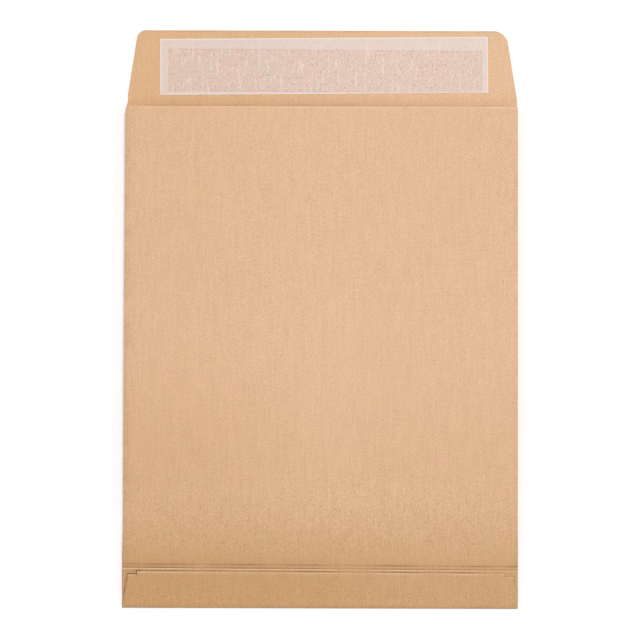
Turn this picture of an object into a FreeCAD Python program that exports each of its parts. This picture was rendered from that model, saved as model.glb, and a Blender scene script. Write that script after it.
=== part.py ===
import FreeCAD, Part
import math
import os

# Gusseted kraft envelope with an open peel-and-seal flap, lying on its front panel.
# One blank is folded into a pocket: front panel, V gusset at each side, back panel,
# a seam tab glued inside the left edge, and a flat folded bottom.
# X runs across the envelope, Y from the bottom fold towards the flap, Z up from the surface
# that it lies on. The origin is the middle of the envelope's outline on that surface.

# Driving dimensions, in millimetres
pocket_width = 250.0
pocket_length = 319.0
closure_flap_length = 48.0
gusset_width = 25.0
paper_thickness = 0.22
fold_radius = 0.12
glue_thickness = 0.10

# How far the pocket springs open at the mouth, and the length over which its back panel
# comes down to the flat bottom, steepest at the bottom
mouth_height = 7.4
rise_length = 36.0
rise_steps = 8

# Closure flap: its sides slant inwards, and the two sides aren't quite alike
flap_shoulder = 1.5
flap_inset_left = 8.5
flap_inset_right = 7.9
flap_corner_left = 5.8
flap_corner_right = 9.4

# Flat bottom: as wide as the gusset, and closed by the flap folded up from the front panel.
# It is a wedge, thin at the bottom fold. Its folded edge and the flap's cut edge run slightly
# askew, higher at the left.
bottom_slope = 7.5
bottom_skew = 1.2
bottom_edge_margin = 1.7
score_margin = 2.0
inner_flap_length = 7.5
bottom_fold_radius = 0.40
folded_edge_radius = 0.33
corner_step_depth = 2.0
corner_step_width = 6.5
corner_step_slant = 0.5
bottom_taper_left = 3.5
bottom_taper_right = 2.3
taper_rise_left = 3.3
taper_rise_right = 8.4

# Seam inside the left edge, and the glue that closes the bottom flap
seam_tab_width = 12.0
seam_glue_width = 8.0
seam_glue_margin = 6.0
bottom_glue_width = 4.0
bottom_glue_margin = 10.0

# Closure adhesive on the flap, and the release liner over it
adhesive_length = 199.5
adhesive_width = 26.7
adhesive_thickness = 0.10
adhesive_offset_x = 2.7
adhesive_below_flap_end = 26.1
adhesive_turn = -0.26
liner_length = 208.5
liner_width = 35.7
liner_thickness = 0.10
liner_offset_x = 2.0
liner_below_flap_end = 22.8
liner_turn = 0.34

# Places along Y
half_width = pocket_width / 2
total_length = pocket_length + closure_flap_length
bottom_y = -total_length / 2
flap_end_y = total_length / 2
mouth_y = bottom_y + pocket_length
crease_y = bottom_y + gusset_width / 2
folded_edge_y = bottom_y + gusset_width
score_y = folded_edge_y + score_margin
inner_flap_y = folded_edge_y - inner_flap_length
cut_edge_left_y = folded_edge_y - bottom_edge_margin + bottom_skew / 2
cut_edge_right_y = folded_edge_y - bottom_edge_margin - bottom_skew / 2

# Folds: radius at the middle of the paper, and distance from a fold's axis to its outer face
fold_middle = fold_radius + paper_thickness / 2
fold_reach = fold_radius + paper_thickness
bottom_fold_middle = bottom_fold_radius + paper_thickness / 2
bottom_fold_reach = bottom_fold_radius + paper_thickness
folded_edge_middle = folded_edge_radius + paper_thickness / 2
folded_edge_reach = folded_edge_radius + paper_thickness

# Heights of the undersides of the layers at the back panel's crease, from the front panel up
layer_step = paper_thickness + 2 * fold_radius
tab_z = paper_thickness + glue_thickness
lower_leg_z = tab_z + layer_step
upper_leg_z = lower_leg_z + layer_step
flat_back_z = upper_leg_z + layer_step
return_leg_z = flat_back_z + layer_step


def turned(heading):
    """Unit vector to the left of a heading, in the section's own plane."""
    return (-math.sin(heading), math.cos(heading))


def heading_between(start, end):
    """Heading of the straight paper between two folds, each (u, v, signed middle radius)."""
    reach_u = end[0] - start[0]
    reach_v = end[1] - start[1]
    distance = math.hypot(reach_u, reach_v)
    return math.atan2(reach_v, reach_u) - math.asin((end[2] - start[2]) / distance)


def face_point(fold, heading, side):
    """Point on one face of the paper where it passes a fold; side is 1 for left, -1 for right."""
    left = turned(heading)
    offset = side * paper_thickness / 2 - fold[2]
    return (fold[0] + left[0] * offset, fold[1] + left[1] * offset)


def face_edges(folds, headings, side, place):
    """Edges of one face of the paper along its section: straight runs joined by fold arcs."""
    edges = []
    for index, heading in enumerate(headings):
        start = face_point(folds[index], heading, side)
        end = face_point(folds[index + 1], heading, side)
        edges.append(Part.LineSegment(place(*start), place(*end)).toShape())
        if index + 1 < len(headings):
            fold = folds[index + 1]
            hand = math.copysign(1, fold[2])
            turn = (hand * (headings[index + 1] - heading)) % (2 * math.pi)
            middle = face_point(fold, heading + hand * turn / 2, side)
            far = face_point(fold, headings[index + 1], side)
            edges.append(Part.Arc(place(*end), place(*middle), place(*far)).toShape())
    return edges


def paper_section(folds, place):
    """Closed wire of the folded paper's section. The first and last folds are its cut ends."""
    headings = [heading_between(a, b) for a, b in zip(folds, folds[1:])]
    left = face_edges(folds, headings, 1, place)
    right = face_edges(folds, headings, -1, place)
    last = Part.LineSegment(place(*face_point(folds[-1], headings[-1], 1)),
                            place(*face_point(folds[-1], headings[-1], -1))).toShape()
    first = Part.LineSegment(place(*face_point(folds[0], headings[0], -1)),
                             place(*face_point(folds[0], headings[0], 1))).toShape()
    return Part.Wire(left + [last] + right[::-1] + [first])


def wedge_z(y, depth):
    """Height at y of a plane in the bottom wedge, depth below the middle of the bottom flap."""
    slope = math.radians(bottom_slope)
    out = bottom_fold_middle - depth
    start_y = bottom_y + bottom_fold_reach - math.sin(slope) * out
    start_z = bottom_fold_reach + math.cos(slope) * out
    return start_z + math.tan(slope) * (y - start_y)


def folded_edge_axis(edge_y):
    """Axis (y, z) of the folded edge that reaches edge_y, with the inner flap tangent to it."""
    slope = math.radians(bottom_slope)
    axis_y = edge_y - folded_edge_reach
    tangent_y = axis_y - math.sin(slope) * folded_edge_middle
    tangent_z = wedge_z(tangent_y, paper_thickness + glue_thickness)
    return (axis_y, tangent_z - math.cos(slope) * folded_edge_middle)


def back_height(y):
    """Height of the back panel's underside: one gap below the returning leg in the wedge,
    then rising from the score line, steeply at first, to the open mouth."""
    axis_y, axis_z = folded_edge_axis(folded_edge_y)
    wedge_rise = (axis_z - folded_edge_reach - layer_step - flat_back_z) / (axis_y - crease_y)
    height = flat_back_z + wedge_rise * (min(y, score_y) - crease_y)
    if y > score_y:
        full = 1 - math.exp((score_y - mouth_y) / rise_length)
        share = (1 - math.exp((score_y - y) / rise_length)) / full
        height += (mouth_height - paper_thickness - height) * share
    return height


def pocket_folds(y):
    """Folds of the pocket at y, from the front panel's cut edge round to the seam tab's."""
    side_x = half_width - fold_reach
    crease_x = half_width - gusset_width / 2 + fold_reach
    low_right = paper_thickness + fold_radius
    low_left = tab_z + paper_thickness + fold_radius
    high = back_height(y) - fold_radius
    return [
        (-half_width, paper_thickness / 2, 0),
        (side_x, low_right, fold_middle),
        (crease_x, (low_right + high) / 2, -fold_middle),
        (side_x, high, fold_middle),
        (-side_x, high, fold_middle),
        (-crease_x, (low_left + high) / 2, -fold_middle),
        (-side_x, low_left, fold_middle),
        (seam_tab_width - half_width, tab_z + paper_thickness / 2, 0),
    ]


def pocket():
    """Front panel, gussets, back panel and seam tab, from the bottom crease to the mouth."""
    stations = [crease_y]
    stations += [score_y + rise_length * step / 2 for step in range(rise_steps + 1)]
    stations += [mouth_y]
    wires = []
    for y in stations:
        wires.append(paper_section(pocket_folds(y), lambda u, v, y=y: FreeCAD.Vector(u, y, v)))
    return Part.makeLoft(wires, True, True)


def rounded_outline(corners, z):
    """Closed wire through (x, y, radius) corners at height z, each rounded by its radius."""
    points = [FreeCAD.Vector(x, y, z) for x, y, radius in corners]
    starts = []
    ends = []
    outline = []
    for index, corner in enumerate(points):
        radius = corners[index][2]
        before = (points[index - 1] - corner).normalize()
        after = (points[(index + 1) % len(points)] - corner).normalize()
        half_angle = before.getAngle(after) / 2
        setback = radius / math.tan(half_angle)
        starts.append(corner + before * setback)
        ends.append(corner + after * setback)
        if index > 0:
            outline.append(Part.LineSegment(ends[index - 1], starts[index]).toShape())
        if radius > 0:
            inward = (before + after).normalize()
            middle = corner + inward * (radius / math.sin(half_angle) - radius)
            outline.append(Part.Arc(starts[index], middle, ends[index]).toShape())
    outline.append(Part.LineSegment(ends[-1], starts[0]).toShape())
    return Part.Wire(outline)


def plate(corners, z, thickness):
    """Flat piece with a rounded outline, its underside at z."""
    return Part.Face(rounded_outline(corners, z)).extrude(FreeCAD.Vector(0, 0, thickness))


def closure_flap():
    """Front panel's run past the mouth: slanted sides and rounded corners."""
    corners = [
        (half_width, mouth_y, 0),
        (half_width - flap_inset_right, flap_end_y, flap_corner_right),
        (flap_inset_left - half_width, flap_end_y, flap_corner_left),
        (flap_shoulder - half_width, mouth_y, 0),
    ]
    return plate(corners, 0, paper_thickness)


def across(folds, width):
    """Folded paper whose section lies in the YZ plane, the same over the given width."""
    section = paper_section(folds, lambda u, v: FreeCAD.Vector(-width / 2, u, v))
    return Part.Face(section).extrude(FreeCAD.Vector(width, 0, 0))


def bottom_fold():
    """Front panel turned up at the bottom fold, and its flap laid over the folded layers."""
    folds = [
        (cut_edge_left_y, wedge_z(cut_edge_left_y, 0), 0),
        (bottom_y + bottom_fold_reach, bottom_fold_reach, bottom_fold_middle),
        (crease_y, paper_thickness / 2, 0),
    ]
    return across(folds, pocket_width).cut(outside_bottom_flap())


def outside_bottom_flap():
    """All that is cut from round the bottom flap: askew edge, stepped corners, tapered sides."""
    left_top = cut_edge_left_y
    right_top = cut_edge_right_y
    left_x = bottom_taper_left - half_width
    right_x = half_width - bottom_taper_right
    left_step_x = left_x + corner_step_width
    right_step_x = right_x - corner_step_width
    kept = [
        (-half_width, bottom_y + taper_rise_left),
        (left_x, left_top - corner_step_depth),
        (left_step_x, left_top - corner_step_depth),
        (left_step_x + corner_step_slant, left_top),
        (right_step_x - corner_step_slant, right_top),
        (right_step_x, right_top - corner_step_depth),
        (right_x, right_top - corner_step_depth),
        (half_width, bottom_y + taper_rise_right),
    ]
    beyond_x = half_width + gusset_width
    beyond_y = folded_edge_y + gusset_width
    outer = [
        (beyond_x, bottom_y + taper_rise_right),
        (beyond_x, beyond_y),
        (-beyond_x, beyond_y),
        (-beyond_x, bottom_y + taper_rise_left),
    ]
    corners = [(x, y, 0) for x, y in kept + outer]
    return plate(corners, paper_thickness + bottom_fold_radius, mouth_height)


def back_panel_end():
    """Back panel turned up at its crease, the leg that returns over it, and the folded edge
    with the inner flap. The folded edge is higher at the left than at the right."""
    reach_x = half_width - fold_reach
    wires = []
    for x, lift in ((-reach_x, bottom_skew / 2), (reach_x, -bottom_skew / 2)):
        axis_y, axis_z = folded_edge_axis(folded_edge_y + lift)
        folds = [
            (crease_y, flat_back_z + paper_thickness / 2, 0),
            (crease_y - fold_radius, return_leg_z - fold_radius, -fold_middle),
            (axis_y, axis_z, folded_edge_middle),
            (inner_flap_y, wedge_z(inner_flap_y, paper_thickness + glue_thickness), 0),
        ]
        wires.append(paper_section(folds, lambda u, v, x=x: FreeCAD.Vector(x, u, v)))
    return Part.makeLoft(wires, True, True)


def kraft_sheet():
    """The whole folded blank, as one solid."""
    sheet = pocket().fuse([closure_flap(), bottom_fold(), back_panel_end()])
    return sheet.removeSplitter()


def turned_strip(length, width, thickness, centre_x, centre_y, z, turn):
    """Flat strip centred at a place on the flap and turned slightly about Z."""
    strip = Part.makeBox(length, width, thickness,
                         FreeCAD.Vector(centre_x - length / 2, centre_y - width / 2, z))
    strip.rotate(FreeCAD.Vector(centre_x, centre_y, 0), FreeCAD.Vector(0, 0, 1), turn)
    return strip


def adhesive_strip():
    """Closure adhesive, on the flap's inner face."""
    return turned_strip(adhesive_length, adhesive_width, adhesive_thickness, adhesive_offset_x,
                        flap_end_y - adhesive_below_flap_end, paper_thickness, adhesive_turn)


def release_liner():
    """Peel-off liner, on the adhesive."""
    return turned_strip(liner_length, liner_width, liner_thickness, liner_offset_x,
                        flap_end_y - liner_below_flap_end,
                        paper_thickness + adhesive_thickness, liner_turn)


def seam_glue():
    """Glue between the front panel and the seam tab."""
    length = mouth_y - crease_y - 2 * seam_glue_margin
    start_x = (seam_tab_width - seam_glue_width) / 2 - half_width
    start = FreeCAD.Vector(start_x, crease_y + seam_glue_margin, paper_thickness)
    return Part.makeBox(seam_glue_width, length, glue_thickness, start)


def bottom_glue():
    """Glue between the inner flap and the bottom flap that closes over it."""
    length = pocket_width - 2 * bottom_glue_margin
    middle_y = (inner_flap_y + cut_edge_right_y) / 2
    low_y = middle_y - bottom_glue_width / 2
    high_y = middle_y + bottom_glue_width / 2
    upper = paper_thickness / 2
    lower = upper + glue_thickness
    rim = [(low_y, lower), (high_y, lower), (high_y, upper), (low_y, upper), (low_y, lower)]
    points = [FreeCAD.Vector(-length / 2, y, wedge_z(y, depth)) for y, depth in rim]
    return Part.Face(Part.makePolygon(points)).extrude(FreeCAD.Vector(length, 0, 0))


os.makedirs("parts", exist_ok=True)
pieces = {
    "kraft_sheet": kraft_sheet(),
    "adhesive_strip": adhesive_strip(),
    "release_liner": release_liner(),
    "seam_glue": seam_glue(),
    "bottom_glue": bottom_glue(),
}
for name, shape in pieces.items():
    shape.exportStep("parts/" + name + ".step")
    box = shape.BoundBox
    print(name, "solids", len(shape.Solids), "valid", shape.isValid(),
          "volume", round(shape.Volume, 2), "faces", len(shape.Faces))
    print("   x", round(box.XMin, 3), round(box.XMax, 3), "y", round(box.YMin, 3),
          round(box.YMax, 3), "z", round(box.ZMin, 3), round(box.ZMax, 3))
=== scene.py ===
import math

import bpy
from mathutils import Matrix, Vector, noise


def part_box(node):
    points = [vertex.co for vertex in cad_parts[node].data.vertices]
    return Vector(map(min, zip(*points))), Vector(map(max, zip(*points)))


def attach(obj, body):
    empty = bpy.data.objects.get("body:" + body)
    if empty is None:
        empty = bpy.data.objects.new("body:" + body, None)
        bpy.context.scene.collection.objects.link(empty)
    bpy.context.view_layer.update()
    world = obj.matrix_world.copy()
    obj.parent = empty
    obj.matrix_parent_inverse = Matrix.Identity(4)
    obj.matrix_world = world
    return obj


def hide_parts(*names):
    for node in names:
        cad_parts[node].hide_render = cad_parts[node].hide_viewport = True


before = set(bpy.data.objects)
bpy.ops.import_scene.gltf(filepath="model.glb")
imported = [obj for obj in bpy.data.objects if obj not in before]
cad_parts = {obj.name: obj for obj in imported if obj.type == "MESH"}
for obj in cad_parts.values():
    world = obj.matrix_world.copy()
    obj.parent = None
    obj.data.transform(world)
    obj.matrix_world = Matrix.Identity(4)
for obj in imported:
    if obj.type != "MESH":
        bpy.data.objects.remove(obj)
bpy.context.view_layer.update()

# Lengths and places of the pieces are in millimetres, and MM turns them into the scene's metres
MM = 0.001

# Places read from the frame
sheet_low, sheet_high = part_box("kraft_sheet")
HALF_WIDTH = sheet_high.x / MM
BOTTOM_Y = sheet_low.y / MM
FLAP_END_Y = sheet_high.y / MM
MOUTH_HEIGHT = sheet_high.z / MM

# The folded blank
PAPER = 0.22
FLAP_LENGTH = 48.0
GUSSET = 25.0
FOLD_MIDDLE = 0.23
FOLD_INNER = 0.12
LAYER_STEP = 0.24
GLUE = 0.10
TAB_WIDTH = 12.0
SCORE_MARGIN = 2.0
MOUTH_Y = FLAP_END_Y - FLAP_LENGTH
CREASE_Y = BOTTOM_Y + GUSSET / 2
FOLDED_EDGE_Y = BOTTOM_Y + GUSSET
SCORE_Y = FOLDED_EDGE_Y + SCORE_MARGIN
FOLD_X = HALF_WIDTH - FOLD_MIDDLE - PAPER / 2
FLAT_BACK_Z = 1.70
RETURN_LEG_Z = FLAT_BACK_Z + PAPER + LAYER_STEP
RISE_LENGTH = 36.0
SIDE_RISE_LENGTH = 42.0
SIDE_RISE_POWER = 2.5

# Closure flap outline: how far its sides stand in from the sheet's at the mouth and at its end,
# its rounded corners, and how its sides bend in beside the fold (depth, place, length)
FLAP_START_LEFT = -0.10
FLAP_START_RIGHT = -0.65
FLAP_INSET_LEFT = 7.3
FLAP_INSET_RIGHT = 7.05
CORNER_LEFT = 5.8
CORNER_RIGHT = 9.4
SHOULDER_LEFT = (0.70, 2.6, 3.0)
SHOULDER_RIGHT = (0.45, 0.0, 3.0)

# How far the flap is lifted just past its fold, and how far from the fold it is up, starts to
# come down, and is down again
FLAP_LIFT = 0.12
FLAP_UP = 6.0
FLAP_LEVEL = 7.0
FLAP_DOWN = 10.0

# How far the front panel's left edge turns in at the mouth, and over what length
FRONT_EDGE_EASE = 0.23
FRONT_EDGE_EASE_LENGTH = 6.0

# How far the back panel turns in at the left of the mouth, over what length and width
MOUTH_EASE = 0.85
MOUTH_EASE_LENGTH = 1.6
MOUTH_EASE_WIDTH = 40.0

# How far the back panel's edge at the mouth stands back from the flap's fold, and over what length
MOUTH_DROP = 1.5
MOUTH_DROP_LENGTH = 12.0

# How much narrower than its bottom end the pocket is at each side, and where it narrows
NARROWER_LEFT = 0.66
NARROWER_RIGHT = 0.30
NARROWS_FROM_Y = -160.0
NARROWS_TO_Y = -120.0

# Bottom wedge
WEDGE_SLOPE = math.radians(7.5)
BOTTOM_FOLD_MIDDLE = 0.51
BOTTOM_FOLD_AXIS = 0.62
FOLDED_EDGE_MIDDLE = 0.44
INNER_FLAP = 7.5

# The bottom's edges are askew; the back panel follows them up to a margin from its score line and
# is straight again a length beyond it
EDGE_SKEW = 1.2
SKEW_MARGIN = 3.0
SKEW_FADE_LENGTH = 40.0

# Bottom flap: its cut edge, the steps at the ends of that edge, and its tapered sides
CUT_EDGE_MARGIN = 1.7
CUT_EDGE_DIP = 0.09
CUT_EDGE_DIP_WIDTH = 0.7
STEP_DEPTH = 2.0
STEP_WIDTH = 5.7
STEP_SLANT = 0.5
TAPER_LEFT = 3.1
TAPER_RIGHT = 2.3
TAPER_RISE_LEFT = 3.3
TAPER_RISE_RIGHT = 8.4
CUT_EDGE_WIDTH = 2 * HALF_WIDTH - TAPER_LEFT - TAPER_RIGHT
STEP_OUTER = STEP_WIDTH / CUT_EDGE_WIDTH
STEP_INNER = (STEP_WIDTH + STEP_SLANT) / CUT_EDGE_WIDTH

# Corners of the gusset, folded flat under the ends of the bottom flap: size, depth below the flap,
# room at their ends and sides, and number of columns and rows
CORNER_FOLD_WIDTH = 9.0
CORNER_FOLD_DEPTH = 0.24
CORNER_FOLD_TIP_DEPTH = 0.45
CORNER_FOLD_START = 0.75
CORNER_FOLD_GAP = 0.35
CORNER_FOLD_INSET = 0.03
CORNER_FOLD_COLUMNS = 4
CORNER_FOLD_ROWS = 12

# Soft dents of the back panel: x, y, half width, half length, depth
PANEL_DENTS = [
    (34.0, -45.0, 26.0, 70.0, 0.30),
    (-46.0, -128.0, 24.0, 34.0, 0.20),
    (58.0, -108.0, 30.0, 22.0, 0.20),
    (-96.0, 10.0, 30.0, 80.0, 0.20),
    (84.0, 60.0, 34.0, 60.0, 0.16),
]

# How far from the side folds and from the score line the back panel is stiff and keeps its form
STIFF_SIDE = 14.0
STIFF_BOTTOM = 20.0

# Unevenness of the back panel: depth, pitch and seed of its broad and its fine ripple, and of the
# ripple along the mouth, which fades over a length
BROAD_RIPPLE = (0.12, 46.0, 3.1)
FINE_RIPPLE = (0.035, 15.0, 7.7)
MOUTH_RIPPLE = (0.30, 38.0, 1.9)
MOUTH_RIPPLE_LENGTH = 16.0
SCORE_DEPTH = 0.16
SCORE_HALF_WIDTH = 0.34

# How finely the sheet is divided. Rows beside the score line are counted in its half widths, and
# those at the mouth in millimetres from it. Rows stand close together up to the slope's end, which
# is counted in rise lengths
ARC_STEPS = 8
COLUMN_PITCH = 3.5
LEG_COLUMN_SHARE = 0.25
ROW_PITCH = 4.0
SLOPE_ROW_PITCH = 1.6
SLOPE_RISE_LENGTHS = 1.6
SLOPE_END_Y = SCORE_Y + SLOPE_RISE_LENGTHS * RISE_LENGTH
FOLDED_EDGE_ROWS = (0.05, 0.5)
SCORE_ROWS = (-3, -2, -1, -0.5, 0, 0.5, 1, 2, 3)
MOUTH_ROWS = (2, 1.5, 1, 0.6, 0.3, 0)
FLAP_SCORE_ROW_PITCH = 0.4
FLAP_SCORE_ROW_COUNT = 8
FLAP_PLAIN_START = 3.6
FLAP_ROW_PITCH = 1.8
FLAP_CORNER_STEPS = 16
EDGE_LINE = 0.35

# Shares of the straight runs at which rows stand: the bottom flap from its cut edge, the front
# panel below the crease, and the back panel's end from its crease round to the inner flap
BOTTOM_FLAP_ROWS = [0, 0.015, 0.03, 0.05, 0.1]
BOTTOM_FLAP_ROW_SHARE = 0.1
FRONT_END_ROW_SHARE = 0.25
BACK_END_ROW_SHARE = 0.5
RETURN_LEG_ROW_SHARE = 0.2
INNER_FLAP_ROWS = [0, 0.06, 0.12]
INNER_FLAP_ROW_SHARE = 0.2

# Marks of painted shade and painted highlights along creases, gaps and edges: tone, how far past its
# line it lies, and width. A tone of 1 is dark painted shade in a crease or gap, and one of -1 a pale
# painted highlight on an edge
SIDE_EDGE_MARK = (0.16, 0.0, 1.1)
LEFT_EDGE_MARK = (0.20, 0.0, 5.0)
SCORE_MARK = (1.0, 0.0, 0.45)
SCORE_SHADE_MARK = (0.12, 1.2, 2.2)
FOLDED_EDGE_MARK = (0.8, 0.0, 0.4)
MOUTH_EDGE_MARK = (-0.4, -0.2, 0.7)
FLAP_SCORE_MARK = (0.30, 0.1, 0.5)
FLAP_END_MARK = (0.45, -0.2, 0.7)
BOTTOM_FOLD_MARK = (0.35, 0.0, 1.2)
CUT_EDGE_DARK_MARK = (1.4, 0.0, 0.5)
CUT_EDGE_PALE_MARK = (-0.55, 1.1, 0.35)
FLAP_SIDE_MARK = (1.1, 0.0, 0.5)
LINER_EDGE_MARK = (-1.0, 0.0, 0.6)
LINER_CREASE_DARK_MARK = (0.6, 0.8, 0.6)
LINER_CREASE_PALE_MARK = (-1.0, 0.0, 0.6)

# Where the marks that change across the envelope change from their left to their right strength
RIGHT_FROM_X = -30.0
RIGHT_FULL_X = 100.0
FLAP_SCORE_FADE = 0.55

# Shade between the folded edge and the score line, and where it starts and is full at the left
LEFT_BAND_TONE = 0.25
LEFT_BAND_START = 30.0
LEFT_BAND_FULL = 5.0

# Shade of the closure flap beside its fold
FLAP_SHADE_TONE = 0.16

# Bottom flap: the painted shade lines of its sides start at a height and are full at another, and its
# painted marks are stronger at the left step and weaker at the right one, with the share of the width
# where each fades
SIDE_LINE_START = 1.0
SIDE_LINE_FULL = 5.0
STEP_CORNER_DISTANCE = 0.2
LEFT_STEP_TONE = 1.3
LEFT_STEP_FADE = 0.02
RIGHT_STEP_TONE = -0.45
RIGHT_STEP_FADE_START = 0.09
RIGHT_STEP_FADE_END = 0.04

# Rows of the folded edge: tones of painted shade along its arc and of painted highlight and shade
# just past it, and how much of the tones fades over the steps of the bottom flap and towards the
# right
FOLDED_ARC_TONE = 0.85
PAST_ARC_TONES = (-1.3, -0.6, 0.9, 1.2)
STEP_FADE = 0.75
STEP_FADE_LENGTH = 4.0
RIGHT_END_FADE = 0.5
RIGHT_END_FADE_START = 28.0
RIGHT_END_FADE_FULL = 14.0

# Liner and adhesive, as they lie on the flap
ADHESIVE_LENGTH = 200.0
ADHESIVE_WIDTH = 27.3
ADHESIVE_CENTRE = (2.4, FLAP_END_Y - 25.8)
ADHESIVE_TURN = math.radians(-0.30)
LINER_LENGTH = 209.1
LINER_WIDTH = 35.9
LINER_CENTRE = (1.7, FLAP_END_Y - 22.55)
LINER_TURN = math.radians(0.53)
LINER_PAPER = 0.05
LINER_CLEARANCE = 0.05
LINER_Z = PAPER + GLUE + LINER_CLEARANCE
LINER_COLUMNS = 420
LINER_ROWS = 62

# Waves of the liner, all over and along its free rim: height, pitch and seed
LINER_WAVE = (0.03, 14.0, 4.4)
RIM_WAVE = (0.10, 22.0, 9.2)

# Creases that run across the liner: x from its left end, slant, half width, height
LINER_CREASES = [
    (20.0, 0.05, 0.7, 0.10),
    (63.0, -0.08, 0.9, 0.14),
    (97.0, 0.03, 0.6, 0.10),
    (131.0, 0.10, 0.8, 0.12),
    (178.0, -0.04, 0.7, 0.10),
]

# How a crease wanders, and how its marks come and go along it: size, pitch and seed
CREASE_WANDER = (0.9, 9.0, 5.5)
CREASE_VARIES = (0.8, 8.0, 2.2)
CREASE_MARK_MEAN = 0.12


def smooth_step(low, high, value):
    """0 below low, 1 above high, and a smooth change between."""
    share = min(max((value - low) / (high - low), 0), 1)
    return share * share * (3 - 2 * share)


def bell(value, middle, width):
    """Smooth hump, 1 at its middle and small beyond its width."""
    return math.exp(-((value - middle) / width) ** 2)


def mark(distance, kind):
    """Tone of a mark of a kind (tone, middle, width), at a distance past its line."""
    tone, middle, width = kind
    return tone * bell(distance, middle, width)


def ripple(x, y, pitch, seed):
    """Smooth uneven ripple from -1 to 1, its waves about pitch long."""
    return noise.noise(Vector((x / pitch, y / pitch, seed)))


def spaced(start, end, pitch):
    """Even steps of about pitch, from start to just short of end."""
    count = max(1, round(abs(end - start) / pitch))
    return [start + (end - start) * step / count for step in range(count)]


def fold_heading(start, end):
    """Heading of the straight paper between two folds, each (u, v, signed middle radius)."""
    reach_u = end[0] - start[0]
    reach_v = end[1] - start[1]
    distance = math.hypot(reach_u, reach_v)
    return math.atan2(reach_v, reach_u) - math.asin((end[2] - start[2]) / distance)


def fold_point(fold, heading):
    """Point of the paper's middle where it passes a fold at a heading."""
    return (fold[0] + math.sin(heading) * fold[2], fold[1] - math.cos(heading) * fold[2])


def section_points(folds, runs):
    """Points along the middle of folded paper. Each run lists the shares of its straight, from 0
    to below 1, at which points stand."""
    headings = [fold_heading(start, end) for start, end in zip(folds, folds[1:])]
    points = []
    for index, heading in enumerate(headings):
        start = Vector(fold_point(folds[index], heading))
        end = Vector(fold_point(folds[index + 1], heading))
        points += [start.lerp(end, share) for share in runs[index]]
        if index + 1 == len(headings):
            points.append(end)
            break
        hand = math.copysign(1, folds[index + 1][2])
        turn = (hand * (headings[index + 1] - heading)) % (2 * math.pi)
        for step in range(ARC_STEPS):
            passing = heading + hand * turn * step / ARC_STEPS
            points.append(Vector(fold_point(folds[index + 1], passing)))
    return points


def wedge_z(y, depth):
    """Height at y of a plane in the bottom wedge, depth below the middle of the bottom flap."""
    out = BOTTOM_FOLD_MIDDLE - depth
    start_y = BOTTOM_Y + BOTTOM_FOLD_AXIS - math.sin(WEDGE_SLOPE) * out
    start_z = BOTTOM_FOLD_AXIS + math.cos(WEDGE_SLOPE) * out
    return start_z + math.tan(WEDGE_SLOPE) * (y - start_y)


def folded_edge_axis(edge_y):
    """Axis of the folded edge that reaches edge_y, with the inner flap tangent to it."""
    axis_y = edge_y - FOLDED_EDGE_MIDDLE - PAPER / 2
    tangent_y = axis_y - math.sin(WEDGE_SLOPE) * FOLDED_EDGE_MIDDLE
    return (axis_y, wedge_z(tangent_y, PAPER + GLUE) - math.cos(WEDGE_SLOPE) * FOLDED_EDGE_MIDDLE)


def skew(x):
    """How far the bottom's edges lie above their middle place, at x."""
    return -EDGE_SKEW / 2 * x / HALF_WIDTH


def back_height(y, rise_length):
    """Height of the back panel's underside: a gentle wedge to the score line, then a rise that
    flattens towards the mouth."""
    axis_y, axis_z = folded_edge_axis(FOLDED_EDGE_Y)
    leg_underside = axis_z - FOLDED_EDGE_MIDDLE - PAPER / 2
    slope = (leg_underside - LAYER_STEP - FLAT_BACK_Z) / (axis_y - CREASE_Y)
    height = FLAT_BACK_Z + slope * (min(y, SCORE_Y) - CREASE_Y)
    if y > SCORE_Y:
        full = 1 - math.exp((SCORE_Y - MOUTH_Y) / rise_length)
        share = (1 - math.exp((SCORE_Y - y) / rise_length)) / full
        height += (MOUTH_HEIGHT - PAPER - height) * share
    return height


def panel_relief(x, y):
    """How far the back panel stands above or below its plain folded form."""
    inside = smooth_step(0, STIFF_SIDE, FOLD_X - abs(x))
    above = smooth_step(SCORE_Y, SCORE_Y + STIFF_BOTTOM, y)
    across = abs(x / HALF_WIDTH) ** SIDE_RISE_POWER
    rise = RISE_LENGTH + (SIDE_RISE_LENGTH - RISE_LENGTH) * across
    fuller = back_height(y, rise) - back_height(y, SIDE_RISE_LENGTH)
    dents = sum(depth * bell(x, mid_x, half_x) * bell(y, mid_y, half_y)
                for mid_x, mid_y, half_x, half_y, depth in PANEL_DENTS)
    broad, broad_pitch, broad_seed = BROAD_RIPPLE
    fine, fine_pitch, fine_seed = FINE_RIPPLE
    uneven = broad * (ripple(x, y, broad_pitch, broad_seed) - 1)
    uneven += fine * ripple(x, y, fine_pitch, fine_seed)
    deep, mouth_pitch, mouth_seed = MOUTH_RIPPLE
    mouth_wave = deep * (1 + ripple(x, 0, mouth_pitch, mouth_seed))
    mouth_wave *= bell(y, MOUTH_Y, MOUTH_RIPPLE_LENGTH)
    score = SCORE_DEPTH * bell(y, SCORE_Y, SCORE_HALF_WIDTH)
    return inside * (fuller + above * (uneven - dents) - mouth_wave) - score


def pocket_folds(y):
    """Folds of the pocket at y, from the front panel's cut edge round to the seam tab's."""
    crease_x = HALF_WIDTH - GUSSET / 2 + FOLD_MIDDLE + PAPER / 2
    low_right = PAPER / 2 + FOLD_MIDDLE
    low_left = low_right + PAPER + GLUE
    high = back_height(y, SIDE_RISE_LENGTH) + PAPER / 2 - FOLD_MIDDLE
    return [
        (front_sides(y)[0], PAPER / 2, 0),
        (FOLD_X, low_right, FOLD_MIDDLE),
        (crease_x, (low_right + high) / 2, -FOLD_MIDDLE),
        (FOLD_X, high, FOLD_MIDDLE),
        (-FOLD_X, high, FOLD_MIDDLE),
        (-crease_x, (low_left + high) / 2, -FOLD_MIDDLE),
        (-FOLD_X, low_left, FOLD_MIDDLE),
        (TAB_WIDTH - HALF_WIDTH, PAPER + GLUE + PAPER / 2, 0),
    ]


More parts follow.
